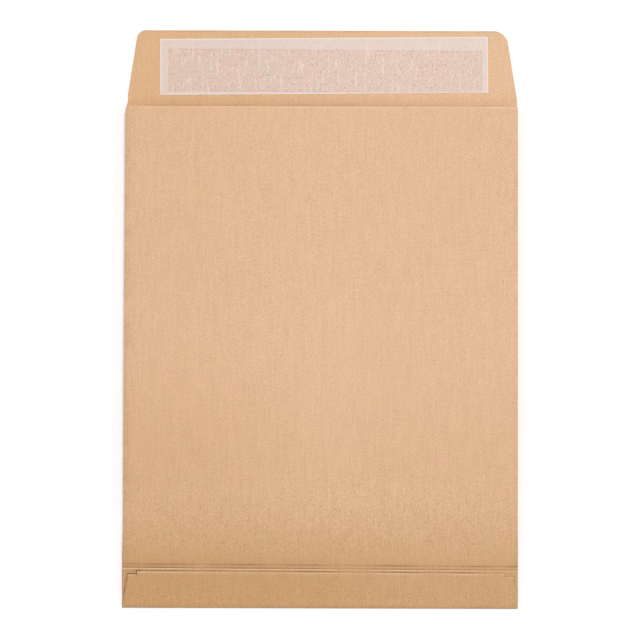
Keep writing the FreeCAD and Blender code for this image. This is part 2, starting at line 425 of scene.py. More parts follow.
def narrowed(x, y):
    """The place across of a point at x of the plain folded form."""
    share = smooth_step(NARROWS_FROM_Y, NARROWS_TO_Y, y)
    across = (x + HALF_WIDTH) / (2 * HALF_WIDTH)
    return x + share * (NARROWER_LEFT * (1 - across) - NARROWER_RIGHT * across)


def flap_side(y, start, inset, corner, shoulder):
    """Inset of the closure flap's slanted side at y, with its end corner rounded."""
    slant = math.atan((inset - start) / FLAP_LENGTH)
    arc_y = FLAP_END_Y - corner
    arc_x = inset + corner * math.tan((math.pi / 2 - slant) / 2)
    if y < arc_y + corner * math.sin(slant):
        up = y - MOUTH_Y
        return start + up * math.tan(slant) + mark(up, shoulder)
    return arc_x - math.sqrt(max(corner ** 2 - (y - arc_y) ** 2, 0))


def front_sides(y):
    """Left and right edges of the front panel and the closure flap at y."""
    if y <= MOUTH_Y:
        ease = smooth_step(MOUTH_Y - FRONT_EDGE_EASE_LENGTH, MOUTH_Y, y)
        return FRONT_EDGE_EASE * ease - HALF_WIDTH, FOLD_X
    left = flap_side(y, FLAP_START_LEFT, FLAP_INSET_LEFT, CORNER_LEFT, SHOULDER_LEFT)
    right = flap_side(y, FLAP_START_RIGHT, FLAP_INSET_RIGHT, CORNER_RIGHT, SHOULDER_RIGHT)
    return left - HALF_WIDTH, HALF_WIDTH - right


def bottom_flap_sides(y):
    """Left and right edges of the bottom flap at y, tapered towards its cut edge."""
    end = FOLDED_EDGE_Y - CUT_EDGE_MARGIN - STEP_DEPTH - BOTTOM_Y
    up = y - BOTTOM_Y
    share_left = min(max((up - TAPER_RISE_LEFT) / (end - TAPER_RISE_LEFT), 0), 1)
    share_right = min(max((up - TAPER_RISE_RIGHT) / (end - TAPER_RISE_RIGHT), 0), 1)
    return share_left * TAPER_LEFT - HALF_WIDTH, HALF_WIDTH - share_right * TAPER_RIGHT


def front_shares():
    """Shares of the front panel's width at which its columns stand, close together at the sides
    and at each step of the bottom flap's cut edge."""
    line = EDGE_LINE / CUT_EDGE_WIDTH
    pitch = COLUMN_PITCH / CUT_EDGE_WIDTH
    half = [0, line, 2 * line] + spaced(5 * line, STEP_OUTER, pitch)
    half += [STEP_OUTER, STEP_INNER, STEP_INNER + line]
    middle = spaced(half[-1] + pitch, 1 - half[-1] - pitch, pitch)
    return half + middle + [1 - share for share in half[:0:-1]]


def pocket_runs():
    """Shares at which the pocket's columns stand in each straight of its section."""
    leg = spaced(0, 1, LEG_COLUMN_SHARE)
    back = spaced(0, 1, COLUMN_PITCH / (2 * HALF_WIDTH))
    return [front_shares(), leg, leg, back, leg, leg, leg]


def pocket_rows():
    """Places along Y at which the pocket's section is set: close together at the score line,
    on the slope above it and at the mouth."""
    score_rows = [SCORE_Y + SCORE_HALF_WIDTH * step for step in SCORE_ROWS]
    rows = spaced(CREASE_Y, FOLDED_EDGE_Y, ROW_PITCH)
    rows += [FOLDED_EDGE_Y + past for past in FOLDED_EDGE_ROWS] + score_rows
    rows += spaced(score_rows[-1] + SLOPE_ROW_PITCH, SLOPE_END_Y, SLOPE_ROW_PITCH)
    rows += spaced(SLOPE_END_Y, MOUTH_Y - MOUTH_ROWS[0], ROW_PITCH)
    return rows + [MOUTH_Y - back for back in MOUTH_ROWS]


def flap_rows():
    """Places along Y of the closure flap's rows, closest at its score and its rounded corners."""
    corner_start = FLAP_END_Y - CORNER_RIGHT
    quarter = math.pi / 2 / FLAP_CORNER_STEPS
    rows = [MOUTH_Y + FLAP_SCORE_ROW_PITCH * step for step in range(FLAP_SCORE_ROW_COUNT)]
    rows += spaced(MOUTH_Y + FLAP_PLAIN_START, corner_start, FLAP_ROW_PITCH)
    return rows + [corner_start + CORNER_RIGHT * math.sin(step * quarter)
                   for step in range(FLAP_CORNER_STEPS + 1)]


def grid(name, columns, rows, place):
    """Flat grid, each of whose points is then folded into place(column, row): x, y and z in
    millimetres and the tone of the painted shade or highlight there."""
    bpy.ops.object.select_all(action="DESELECT")
    bpy.ops.mesh.primitive_grid_add(x_subdivisions=columns - 1, y_subdivisions=rows - 1, size=1)
    sheet = bpy.context.object
    sheet.name = name
    tones = sheet.data.attributes.new("painted_light_tone", "FLOAT", "POINT")
    for index, vertex in enumerate(sheet.data.vertices):
        x, y, z, tone = place(index % columns, index // columns)
        vertex.co = Vector((x, y, z)) * MM
        tones.data[index].value = tone
    return sheet


def rightness(x):
    """0 at the left, 1 at the right, and a smooth change between."""
    return smooth_step(RIGHT_FROM_X, RIGHT_FULL_X, x)


def flap_score_tone(x, y):
    """Tone of the painted shade line that the closure flap folds over on, fainter towards the right.
    """
    return mark(y - MOUTH_Y, FLAP_SCORE_MARK) * (1 - FLAP_SCORE_FADE * rightness(x))


def back_panel_tone(x, y):
    """Tone of the painted shade at the back panel's score line and folded edge and beside the score,
    a painted shade band at the left, and a painted highlight on its edge at the mouth.
    """
    tone = mark(y - SCORE_Y, SCORE_MARK) + mark(y - FOLDED_EDGE_Y, FOLDED_EDGE_MARK)
    tone += mark(y - SCORE_Y, SCORE_SHADE_MARK)
    if FOLDED_EDGE_Y < y < SCORE_Y:
        tone += LEFT_BAND_TONE * smooth_step(HALF_WIDTH - LEFT_BAND_START,
                                             HALF_WIDTH - LEFT_BAND_FULL, -x)
    return tone + mark(y - MOUTH_Y, MOUTH_EDGE_MARK) * (1 + rightness(x))


def panel_skew(x, y):
    """How far the back panel is shifted along Y, to follow the bottom's edges."""
    follows = smooth_step(CREASE_Y, SCORE_Y - SKEW_MARGIN, y)
    straight = smooth_step(SCORE_Y + SKEW_MARGIN, SCORE_Y + SKEW_FADE_LENGTH, y)
    return skew(x) * follows * (1 - straight)


def mouth_ease(x, y):
    """How far the left of the back panel and its gusset turns in at the mouth."""
    at_mouth = smooth_step(MOUTH_Y - MOUTH_EASE_LENGTH, MOUTH_Y, y)
    return MOUTH_EASE * at_mouth * smooth_step(HALF_WIDTH - MOUTH_EASE_WIDTH, HALF_WIDTH, -x)


def pocket_part(runs):
    """Front panel, gussets, back panel and seam tab, from the crease to the mouth."""
    rows = pocket_rows()
    sections = [section_points(pocket_folds(y), runs) for y in rows]
    back_start = sum(len(run) for run in runs[:3]) + 3 * ARC_STEPS
    back_end = back_start + len(runs[3])

    def place(column, row):
        y = rows[row]
        x, z = sections[row][column]
        to_side = HALF_WIDTH - abs(x)
        # Painted shade along the side folds and over the left edge, a painted shade line at the
        # flap's fold, and the back panel's painted shade and highlights
        tone = mark(to_side, SIDE_EDGE_MARK)
        if column < len(runs[0]):
            tone += flap_score_tone(x, y)
        if x < 0:
            tone += mark(to_side, LEFT_EDGE_MARK)
        if back_start <= column <= back_end:
            tone += back_panel_tone(x, y)
            z += panel_relief(x, y)
            y += panel_skew(x, y)
        if column >= back_start - ARC_STEPS and x < 0:
            x += mouth_ease(x, y)
        x = narrowed(x, y)
        y -= MOUTH_DROP * z / MOUTH_HEIGHT * smooth_step(MOUTH_Y - MOUTH_DROP_LENGTH, MOUTH_Y, y)
        return (x, y, z, tone)

    return grid("pocket_part", len(sections[0]), len(rows), place)


def closure_flap_part():
    """Closure flap beyond the mouth, lifted slightly just past the line that it folds over on."""
    shares = front_shares() + [1]
    rows = flap_rows()

    def place(column, row):
        y = rows[row]
        left, right = front_sides(y)
        up = smooth_step(MOUTH_Y, MOUTH_Y + FLAP_UP, y)
        down = smooth_step(MOUTH_Y + FLAP_LEVEL, MOUTH_Y + FLAP_DOWN, y)
        x = narrowed(left + (right - left) * shares[column], y)
        # Painted shade: a line at the flap's fold, a line along its end and shade beside its fold
        tone = flap_score_tone(x, y) + mark(y - FLAP_END_Y, FLAP_END_MARK)
        tone += FLAP_SHADE_TONE * (1 - up)
        return (x, y, PAPER / 2 + FLAP_LIFT * (up - down), tone)

    return grid("closure_flap_part", len(shares), len(rows), place)


def bottom_flap_tone(share, from_cut, up):
    """Tone of the painted shade and highlight on the bottom flap at a share of its width, by the
    distance from its cut edge and the height above the bottom fold."""
    to_side = min(share, 1 - share)
    at_step = abs(to_side - STEP_INNER) < EDGE_LINE / 2 / CUT_EDGE_WIDTH
    if at_step and from_cut < STEP_DEPTH + EDGE_LINE:
        from_cut = STEP_CORNER_DISTANCE
    edge_line = mark(from_cut, CUT_EDGE_DARK_MARK) + mark(from_cut, CUT_EDGE_PALE_MARK)
    side_line = mark(to_side * CUT_EDGE_WIDTH, FLAP_SIDE_MARK)
    side_line *= smooth_step(SIDE_LINE_START, SIDE_LINE_FULL, up)
    tone = max(edge_line, side_line, key=abs)
    if tone > 0:
        tone *= 1 + LEFT_STEP_TONE * (1 - smooth_step(STEP_INNER, STEP_INNER + LEFT_STEP_FADE, share))
    right_step = 1 - STEP_INNER
    return tone * (1 + RIGHT_STEP_TONE * smooth_step(
        right_step - RIGHT_STEP_FADE_START, right_step - RIGHT_STEP_FADE_END, share))


def bottom_part():
    """Bottom flap, the bottom fold, and the front panel up to the crease."""
    shares = front_shares() + [1]
    runs = [BOTTOM_FLAP_ROWS + spaced(2 * BOTTOM_FLAP_ROW_SHARE, 1, BOTTOM_FLAP_ROW_SHARE),
            spaced(0, 1, FRONT_END_ROW_SHARE)]
    paths = []
    for share in shares:
        x = (2 * share - 1) * HALF_WIDTH
        cut_y = FOLDED_EDGE_Y - CUT_EDGE_MARGIN + skew(x)
        if min(share, 1 - share) < (STEP_OUTER + STEP_INNER) / 2:
            cut_y -= STEP_DEPTH
        paths.append(section_points([
            (cut_y, wedge_z(cut_y, 0), 0),
            (BOTTOM_Y + BOTTOM_FOLD_AXIS, BOTTOM_FOLD_AXIS, BOTTOM_FOLD_MIDDLE),
            (CREASE_Y, PAPER / 2, 0),
        ], runs))

    def place(column, row):
        y, z = paths[column][row]
        left, right = -HALF_WIDTH, HALF_WIDTH
        # Painted shade along the bottom fold, and painted shade and highlights by the bottom flap's
        # cut edge and sides
        tone = mark(y - BOTTOM_Y, BOTTOM_FOLD_MARK)
        if row == len(paths[0]) - 1:
            right = FOLD_X
        if row < len(runs[0]):
            left, right = bottom_flap_sides(y)
            from_cut = paths[column][0].x - y
            z -= CUT_EDGE_DIP * bell(from_cut, 0, CUT_EDGE_DIP_WIDTH)
            tone += bottom_flap_tone(shares[column], from_cut, y - BOTTOM_Y)
        return (left + (right - left) * shares[column], y, z, tone)

    return grid("bottom_part", len(shares), len(paths[0]), place)


def back_end_part(runs):
    """Back panel turned up at its crease, the leg that returns over it, the folded edge and the
    inner flap."""
    shares = runs[3] + [1]
    steps = [spaced(0, 1, BACK_END_ROW_SHARE), spaced(0, 1, RETURN_LEG_ROW_SHARE),
             INNER_FLAP_ROWS + spaced(INNER_FLAP_ROW_SHARE, 1, INNER_FLAP_ROW_SHARE)]
    fold_start = len(steps[0]) + ARC_STEPS + len(steps[1])
    fold_end = fold_start + ARC_STEPS
    # Painted shade along the folded edge's arc, and painted highlight and shade just past it
    tones = {index: FOLDED_ARC_TONE for index in range(fold_start, fold_end)}
    tones.update({fold_end + past: tone for past, tone in enumerate(PAST_ARC_TONES)})
    paths = []
    for share in shares:
        x = (1 - 2 * share) * HALF_WIDTH
        axis_y, axis_z = folded_edge_axis(FOLDED_EDGE_Y + skew(x))
        inner_y = FOLDED_EDGE_Y - INNER_FLAP
        path = section_points([
            (CREASE_Y, FLAT_BACK_Z + PAPER / 2, 0),
            (CREASE_Y - FOLD_INNER, RETURN_LEG_Z - FOLD_INNER, -FOLD_MIDDLE),
            (axis_y, axis_z, FOLDED_EDGE_MIDDLE),
            (inner_y, wedge_z(inner_y, PAPER + GLUE), 0),
        ], steps)
        paths.append(path[::-1])

    def place(column, row):
        y, z = paths[column][row]
        x = FOLD_X * (1 - 2 * shares[column])
        index = len(paths[0]) - 1 - row
        tone = tones.get(index, 0)
        if index > fold_end + 1:
            step_x = HALF_WIDTH - STEP_WIDTH
            tone *= 1 - STEP_FADE * smooth_step(step_x - STEP_FADE_LENGTH, step_x, abs(x))
            tone *= 1 - RIGHT_END_FADE * smooth_step(HALF_WIDTH - RIGHT_END_FADE_START,
                                                     HALF_WIDTH - RIGHT_END_FADE_FULL, x)
        return (x, y, z, tone)

    return grid("back_end_part", len(shares), len(paths[0]), place)


def corner_fold_part(side):
    """Corner of the gusset, folded flat under the bottom flap, at the left (-1) or right (1)."""
    start_y = BOTTOM_Y + CORNER_FOLD_START
    end_y = FOLDED_EDGE_Y - INNER_FLAP - CORNER_FOLD_GAP

    def place(column, row):
        y = start_y + (end_y - start_y) * row / (CORNER_FOLD_ROWS - 1)
        right = side * (HALF_WIDTH - CORNER_FOLD_INSET) + CORNER_FOLD_WIDTH * (1 - side) / 2
        x = right - CORNER_FOLD_WIDTH * column / (CORNER_FOLD_COLUMNS - 1)
        deeper = CORNER_FOLD_TIP_DEPTH - CORNER_FOLD_DEPTH
        depth = CORNER_FOLD_DEPTH + deeper * smooth_step(CREASE_Y, end_y, y)
        return (x, y, wedge_z(y, depth), 0)

    return grid("corner_fold_part", CORNER_FOLD_COLUMNS, CORNER_FOLD_ROWS, place)


# Edges that turn more than this stay sharp
SMOOTH_ANGLE = math.radians(40)
# Points closer than this are one point
MERGE_DISTANCE = 0.004


def thicken(sheet, thickness, lining):
    """Gives a sheet its thickness, half to each side; lining is the material slot of the face
    that its normals point away from."""
    bpy.ops.object.select_all(action="DESELECT")
    sheet.select_set(True)
    bpy.context.view_layer.objects.active = sheet
    solid = sheet.modifiers.new("thickness", "SOLIDIFY")
    solid.thickness = thickness * MM
    solid.offset = 0
    solid.use_even_offset = True
    solid.material_offset = lining
    bpy.ops.object.modifier_apply(modifier=solid.name)
    bpy.ops.object.shade_smooth_by_angle(angle=SMOOTH_ANGLE)


def kraft_body():
    """The whole folded sheet of kraft paper."""
    runs = pocket_runs()
    parts = [pocket_part(runs), closure_flap_part(), bottom_part(), back_end_part(runs),
             corner_fold_part(-1), corner_fold_part(1)]
    bpy.ops.object.select_all(action="DESELECT")
    for part in parts:
        part.select_set(True)
    bpy.context.view_layer.objects.active = parts[0]
    bpy.ops.object.join()
    body = bpy.context.object
    body.name = "kraft_body"
    bpy.ops.object.mode_set(mode="EDIT")
    bpy.ops.mesh.select_all(action="SELECT")
    bpy.ops.mesh.remove_doubles(threshold=MERGE_DISTANCE * MM)
    bpy.ops.mesh.flip_normals()
    bpy.ops.object.mode_set(mode="OBJECT")
    body.data.materials.append(kraft_outside())
    body.data.materials.append(kraft_inside())
    thicken(body, PAPER, 1)
    return body


def liner_relief(along, across):
    """Height of the liner above its plain place, and the tone of the painted shade and highlights on
    its creases and the painted highlight on its edges.
    """
    x = along - LINER_LENGTH / 2
    height, pitch, seed = LINER_WAVE
    z = height * (1 + ripple(x, across, pitch, seed))
    height, pitch, seed = RIM_WAVE
    rim = smooth_step(ADHESIVE_WIDTH / 2, LINER_WIDTH / 2, abs(across))
    z += height * rim * (1 + ripple(x, across, pitch, seed))
    tone = 0
    wander, wander_pitch, wander_seed = CREASE_WANDER
    varies, varies_pitch, varies_seed = CREASE_VARIES
    for crease_x, slant, half_width, height in LINER_CREASES:
        past = along - crease_x - slant * across
        past -= wander * ripple(crease_x, across, wander_pitch, wander_seed)
        z += height * bell(past, 0, half_width)
        strength = CREASE_MARK_MEAN + varies * ripple(crease_x, across, varies_pitch, varies_seed)
        marks = mark(past, LINER_CREASE_DARK_MARK) + mark(past, LINER_CREASE_PALE_MARK)
        tone += max(strength, 0) * marks
    to_edge = min(along, LINER_LENGTH - along, LINER_WIDTH / 2 - abs(across))
    return z, tone + mark(to_edge, LINER_EDGE_MARK)


def liner():
    """Peel-off liner, slightly waved, with shallow creases across it."""

    def place(column, row):
        along = LINER_LENGTH * column / (LINER_COLUMNS - 1)
        across = LINER_WIDTH * (row / (LINER_ROWS - 1) - 0.5)
        x = along - LINER_LENGTH / 2
        z, tone = liner_relief(along, across)
        turned_x = LINER_CENTRE[0] + x * math.cos(LINER_TURN) - across * math.sin(LINER_TURN)
        turned_y = LINER_CENTRE[1] + x * math.sin(LINER_TURN) + across * math.cos(LINER_TURN)
        return (turned_x, turned_y, LINER_Z + z, tone)

    sheet = grid("liner", LINER_COLUMNS, LINER_ROWS, place)
    sheet.data.materials.append(liner_paper())
    thicken(sheet, LINER_PAPER, 0)
    return sheet


# Colours of the paper and the liner, as sRGB from 0 to 255. The paper's low and bottom colours are
# painted shade, the inside's two colours are its own colour painted shaded at the left and lit at the
# right, and the left shades are painted shade over the left of each
KRAFT_TOP = (228, 189, 154)
KRAFT_LOW_SHADED = (223, 184, 146)
KRAFT_BOTTOM_SHADED = (204, 161, 115)
KRAFT_INSIDE_SHADED = (223, 181, 140)
KRAFT_INSIDE_LIT = (231, 193, 156)
KRAFT_LEFT_SHADE = (245, 242, 235)
LINER_RIM = (226, 207, 198)
LINER_ON_ADHESIVE = (229, 203, 187)
LINER_LEFT_SHADE = (249, 247, 247)
# Make up for the grain, which darkens the colours above
KRAFT_GAIN = 1.14
LINER_GAIN = 1.08

# Tints of the grain, of the painted shade in creases and gaps and of the painted highlights on edges,
# as the scene's own colours
SHADE_BROWN = (0.16, 0.07, 0.03, 1.0)
HIGHLIGHT_PALE = (1.0, 0.78, 0.56, 1.0)
FIBRE_BROWN = (0.26, 0.12, 0.05, 1.0)
FIBRE_PALE = (1.0, 0.76, 0.54, 1.0)
PATCH_YELLOW = (0.66, 0.50, 0.26, 1.0)
PATCH_ROSE = (0.84, 0.47, 0.34, 1.0)
LINER_BROWN = (0.34, 0.20, 0.14, 1.0)
LINER_ROSE = (0.88, 0.55, 0.50, 1.0)
LINER_GREY = (0.68, 0.62, 0.52, 1.0)
LINER_WHITE = (1.0, 0.94, 0.88, 1.0)
ADHESIVE_DARK = (0.74, 0.55, 0.42, 1.0)
ADHESIVE_LIGHT = (0.80, 0.62, 0.48, 1.0)
GLUE_DARK = (0.82, 0.76, 0.62, 1.0)
GLUE_LIGHT = (0.88, 0.84, 0.72, 1.0)

# Strength of the painted shade in creases and gaps and of the painted highlights on edges
KRAFT_PAINTED_SHADE = (SHADE_BROWN, 0.34)
KRAFT_PAINTED_HIGHLIGHT = (HIGHLIGHT_PALE, 0.34)
LINER_PAINTED_SHADE = (LINER_BROWN, 0.14)
LINER_PAINTED_HIGHLIGHT = (LINER_WHITE, 0.55)

# Noises: scale per metre along X, Y and Z, detail and roughness
RIBS = ((850, 60, 60), 3.0, 0.55)
FIBRES = ((2200, 1100, 300), 2.0, 0.8)
FLECKS = ((1000, 900, 300), 2.0, 0.55)
CLOUDS = ((210, 130, 40), 3.0, 0.6)
PATCHES = ((58, 46, 40), 4.0, 0.6)
MARK_VARIATION = ((34, 160, 40), 3.0, 0.55)
LINER_MOTTLE = ((100, 60, 100), 4.0, 0.65)
LINER_FIBRES = ((1800, 1400, 100), 1.0, 0.55)
LINER_SPECKS = ((800, 480, 100), 2.0, 0.55)
LINER_STREAKS = ((520, 90, 100), 2.0, 0.55)
FILM_NOISE = ((150, 220, 100), 4.0, 0.55)
GLUE_NOISE = ((200, 200, 200), 3.0, 0.55)

# Layers of grain, in the order that they are laid on: noise, the values of it where the layer
# starts and where it is full, strength, tint, and whether the material's mask scales the layer
KRAFT_LAYERS = [
    (RIBS, 0.32, 0.68, 0.080, FIBRE_BROWN, True),
    (FIBRES, 0.36, 0.64, 0.29, FIBRE_BROWN, True),
    (FLECKS, 0.63, 0.71, 0.34, FIBRE_BROWN, True),
    (FLECKS, 0.36, 0.26, 0.09, FIBRE_PALE, True),
    (CLOUDS, 0.34, 0.68, 0.030, FIBRE_BROWN, True),
    (PATCHES, 0.52, 0.68, 0.11, PATCH_YELLOW, False),
    (PATCHES, 0.46, 0.32, 0.07, PATCH_ROSE, False),
]
LINER_LAYERS = [
    (LINER_MOTTLE, 0.50, 0.66, 0.30, LINER_ROSE, False),
    (LINER_MOTTLE, 0.50, 0.34, 0.34, LINER_GREY, False),
    (LINER_FIBRES, 0.36, 0.64, 0.34, LINER_BROWN, True),
    (LINER_SPECKS, 0.59, 0.70, 0.44, LINER_BROWN, True),
    (LINER_SPECKS, 0.44, 0.30, 0.20, LINER_WHITE, True),
    (LINER_STREAKS, 0.53, 0.70, 0.24, LINER_WHITE, True),
]

# Smooth ramps along X or Y, in metres: from, to, value at from, value at to
ROUGHER_ALONG_Y = (-0.02, -0.15, 1.0, 1.18)
# Painted shade: the back panel darkens towards its low part and again towards the bottom, less so at
# the right
LOW_SHADE_ALONG_Y = (0.000, -0.110, 0.0, 1.0)
BOTTOM_SHADE_ALONG_Y = (-0.108, -0.170, 0.0, 1.0)
BOTTOM_SHADE_ALONG_X = (-0.030, 0.080, 1.0, 0.76)
# Painted shade over the left, strongest part way down and fading on the bottom flap
LEFT_SHADE_ALONG_X = (0.010, -0.110, 0.0, 1.0)
LEFT_SHADE_ALONG_Y = (-0.020, -0.080, 0.45, 0.80)
LEFT_SHADE_FADE_ALONG_Y = (-0.100, -0.150, 1.0, 0.35)
# Painted light on the inside, paler towards the right
INSIDE_LIGHT_ALONG_X = (-0.11, 0.12, 0.0, 1.0)
# Painted shade over the liner's left
LINER_LEFT_SHADE_ALONG_X = (0.06, -0.09, 0.0, 1.0)

# Ramps over a noise or a mask
MARK_VARIATION_RANGE = (0.34, 0.66, 0.5, 1.5)
FILM_RANGE = (0.3, 0.7, 0.0, 1.0)
TACKY_RANGE = (0.0, 1.0, 0.35, 1.0)
OUTLINE_RANGE = (0.4, 0.6, 0.04, 0.16)

# Painted light: a slightly paler place in the middle of the back panel, in metres: X and Y of its
# centre, half its size and its softness along each, and its strength
LIT_BAND_CENTRE = (0.010, -0.045)
LIT_BAND_HALF_SIZE = (0.014, 0.052)
LIT_BAND_SOFTNESS = (0.010, 0.030)
LIT_BAND_STRENGTH = 0.06

# The adhesive seen through the liner, in metres: softness of its edge, and how wide its darker
# outline is and how soft on the inside
ADHESIVE_SOFTNESS = 0.0005
OUTLINE_WIDTH = 0.0009
OUTLINE_SOFTNESS = 0.0004

# Finish of the surfaces
PAPER_ROUGHNESS = 0.85
PAPER_SPECULAR = 0.15
LINER_ROUGHNESS = 0.55
FILM_ROUGHNESS = 0.25
GLUE_ROUGHNESS = 0.6
BUMP_DISTANCE = 0.0002
KRAFT_BUMP = 0.12
LINER_BUMP = 0.15
RIB_BUMP_SHARE = 0.6


def linear(colour, factor=1.0):
    """Scene colour of an sRGB colour given from 0 to 255, made lighter or darker by a factor."""
    shares = [channel / 255 for channel in colour]
    return tuple(min(1, factor * (share / 12.92 if share <= 0.04045
                                  else ((share + 0.055) / 1.055) ** 2.4))
                 for share in shares) + (1.0,)


def add(tree, kind, inputs, **settings):
    """Adds a shader node; an input given as a socket is linked, any other is set."""
    made = tree.nodes.new(kind)
    for name, value in settings.items():
        setattr(made, name, value)
    for key, value in inputs.items():
        if isinstance(value, bpy.types.NodeSocket):
            tree.links.new(value, made.inputs[key])
        else:
            made.inputs[key].default_value = value
    return made


def stretched_noise(tree, scale, detail, roughness):
    """Noise over the object's own coordinates; scale is per metre along X, Y and Z."""
    place = add(tree, "ShaderNodeTexCoord", {})
    mapped = add(tree, "ShaderNodeMapping", {"Vector": place.outputs["Object"], "Scale": scale})
    made = add(tree, "ShaderNodeTexNoise",
               {"Vector": mapped.outputs["Vector"], "Scale": 1.0, "Detail": detail,
                "Roughness": roughness})
    return made.outputs["Fac"]


def ramp(tree, value, low, high, to_low=0.0, to_high=1.0):
    """Value mapped smoothly from low..high to to_low..to_high."""
    made = add(tree, "ShaderNodeMapRange",
               {"Value": value, "From Min": low, "From Max": high, "To Min": to_low,
                "To Max": to_high}, interpolation_type="SMOOTHSTEP")
    return made.outputs["Result"]


def blend(tree, factor, first, second, how="MIX"):
    """Mix of two colours."""
    made = add(tree, "ShaderNodeMix", {0: factor, 6: first, 7: second}, data_type="RGBA",
               blend_type=how)
    return made.outputs[2]


def compute(tree, operation, first, second=0.0):
    """One step of arithmetic on values."""
    return add(tree, "ShaderNodeMath", {0: first, 1: second}, operation=operation).outputs[0]


def band(tree, value, half, soft):
    """1 within half of zero, fading over soft."""
    return ramp(tree, compute(tree, "ABSOLUTE", value), half + soft, half - soft)


def coordinates(tree):
    """X, Y and Z of the object's own coordinates."""
    place = add(tree, "ShaderNodeTexCoord", {})
    split = add(tree, "ShaderNodeSeparateXYZ", {0: place.outputs["Object"]})
    return split.outputs


def layered(tree, colour, layers, mask):
    """Colour with layers of grain laid over it, and the noises that they use, by recipe."""
    noises = {}
    for recipe, start, full, strength, tint, masked in layers:
        if recipe not in noises:
            noises[recipe] = stretched_noise(tree, *recipe)
        share = ramp(tree, noises[recipe], start, full, 0.0, strength)
        if masked:
            share = compute(tree, "MULTIPLY", share, mask)
        colour = blend(tree, share, colour, tint)
    return colour, noises


def painted_light_tone(tree):
    """The mesh's tone of painted light: above 0 for painted shade in creases and gaps, and below 0
    for painted highlights on edges.
    """
    return add(tree, "ShaderNodeAttribute", {}, attribute_name="painted_light_tone").outputs["Fac"]


def shade_and_highlight(tree, colour, tone, crease, edge):
    """Colour with painted shade in creases and gaps and painted highlights on edges, by the tone. The
    painted shade (crease) and the painted highlight (edge) each have a tint and its strength."""
    for sign, (tint, strength) in ((1.0, crease), (-1.0, edge)):
        depth = compute(tree, "MAXIMUM", compute(tree, "MULTIPLY", tone, sign), 0.0)
        colour = blend(tree, compute(tree, "MULTIPLY", depth, strength), colour, tint)
    return colour


def paper_shader(name, roughness):
    """New material with a plain finish, its node tree and its shader."""
    material = bpy.data.materials.new(name)
    material.use_nodes = True
    tree = material.node_tree
    shader = tree.nodes["Principled BSDF"]
    shader.inputs["Roughness"].default_value = roughness
    shader.inputs["Specular IOR Level"].default_value = PAPER_SPECULAR
    return material, tree, shader


def set_surface(tree, shader, colour, height, strength):
    """Joins a colour and a bump of a height and strength to the shader."""
    bump = add(tree, "ShaderNodeBump",
               {"Strength": strength, "Distance": BUMP_DISTANCE, "Height": height})
    tree.links.new(colour, shader.inputs["Base Color"])
    tree.links.new(bump.outputs["Normal"], shader.inputs["Normal"])


def set_kraft(tree, shader, colour):
    """Gives a shader the grain, the painted shade of creases and gaps, the painted highlights of
    edges and the bumps of kraft paper, over a colour. The grain is strongest towards the bottom."""
    rougher = ramp(tree, coordinates(tree)["Y"], *ROUGHER_ALONG_Y)
    colour, noises = layered(tree, colour, KRAFT_LAYERS, rougher)
    # The painted shade and highlights vary in strength along their lines, by a noise
    varied = ramp(tree, stretched_noise(tree, *MARK_VARIATION), *MARK_VARIATION_RANGE)
    tone = compute(tree, "MULTIPLY", painted_light_tone(tree), varied)
    colour = shade_and_highlight(tree, colour, tone, KRAFT_PAINTED_SHADE, KRAFT_PAINTED_HIGHLIGHT)
    ribs = compute(tree, "MULTIPLY", noises[RIBS], RIB_BUMP_SHARE)
    set_surface(tree, shader, colour, compute(tree, "ADD", ribs, noises[FIBRES]), KRAFT_BUMP)


def kraft_outside():
    """Outer face of the kraft paper, with painted shade that makes it warmer and darker towards the
    bottom and darker over the left, and a paler place of painted light in the middle of the back
    panel.
    """
    material, tree, shader = paper_shader("kraft_outside", PAPER_ROUGHNESS)
    place = coordinates(tree)
    # Painted shade: darker and warmer towards the low part and the bottom
    low = ramp(tree, place["Y"], *LOW_SHADE_ALONG_Y)
    colour = blend(tree, low, linear(KRAFT_TOP, KRAFT_GAIN), linear(KRAFT_LOW_SHADED, KRAFT_GAIN))
    bottom = compute(tree, "MULTIPLY", ramp(tree, place["Y"], *BOTTOM_SHADE_ALONG_Y),
                     ramp(tree, place["X"], *BOTTOM_SHADE_ALONG_X))
    colour = blend(tree, bottom, colour, linear(KRAFT_BOTTOM_SHADED, KRAFT_GAIN))
    # Painted shade over the left
    left = compute(tree, "MULTIPLY", ramp(tree, place["X"], *LEFT_SHADE_ALONG_X),
                   ramp(tree, place["Y"], *LEFT_SHADE_ALONG_Y))
    left = compute(tree, "MULTIPLY", left, ramp(tree, place["Y"], *LEFT_SHADE_FADE_ALONG_Y))
    colour = blend(tree, left, colour, linear(KRAFT_LEFT_SHADE), "MULTIPLY")
    # Painted light: a slightly paler place in the middle of the back panel
    sides = [band(tree, compute(tree, "SUBTRACT", place[axis], LIT_BAND_CENTRE[axis]),
                  LIT_BAND_HALF_SIZE[axis], LIT_BAND_SOFTNESS[axis]) for axis in range(2)]
    pale = compute(tree, "MULTIPLY", compute(tree, "MULTIPLY", *sides), LIT_BAND_STRENGTH)
    set_kraft(tree, shader, blend(tree, pale, colour, HIGHLIGHT_PALE))
    return material


def kraft_inside():
    """Inner face of the kraft paper, with painted light that makes it a little paler towards the
    right and painted shade at the left.
    """
    material, tree, shader = paper_shader("kraft_inside", PAPER_ROUGHNESS)
    # Painted light: paler towards the right
    right = ramp(tree, coordinates(tree)["X"], *INSIDE_LIGHT_ALONG_X)
    set_kraft(tree, shader, blend(tree, right, linear(KRAFT_INSIDE_SHADED, KRAFT_GAIN),
                                  linear(KRAFT_INSIDE_LIT, KRAFT_GAIN)))
    return material


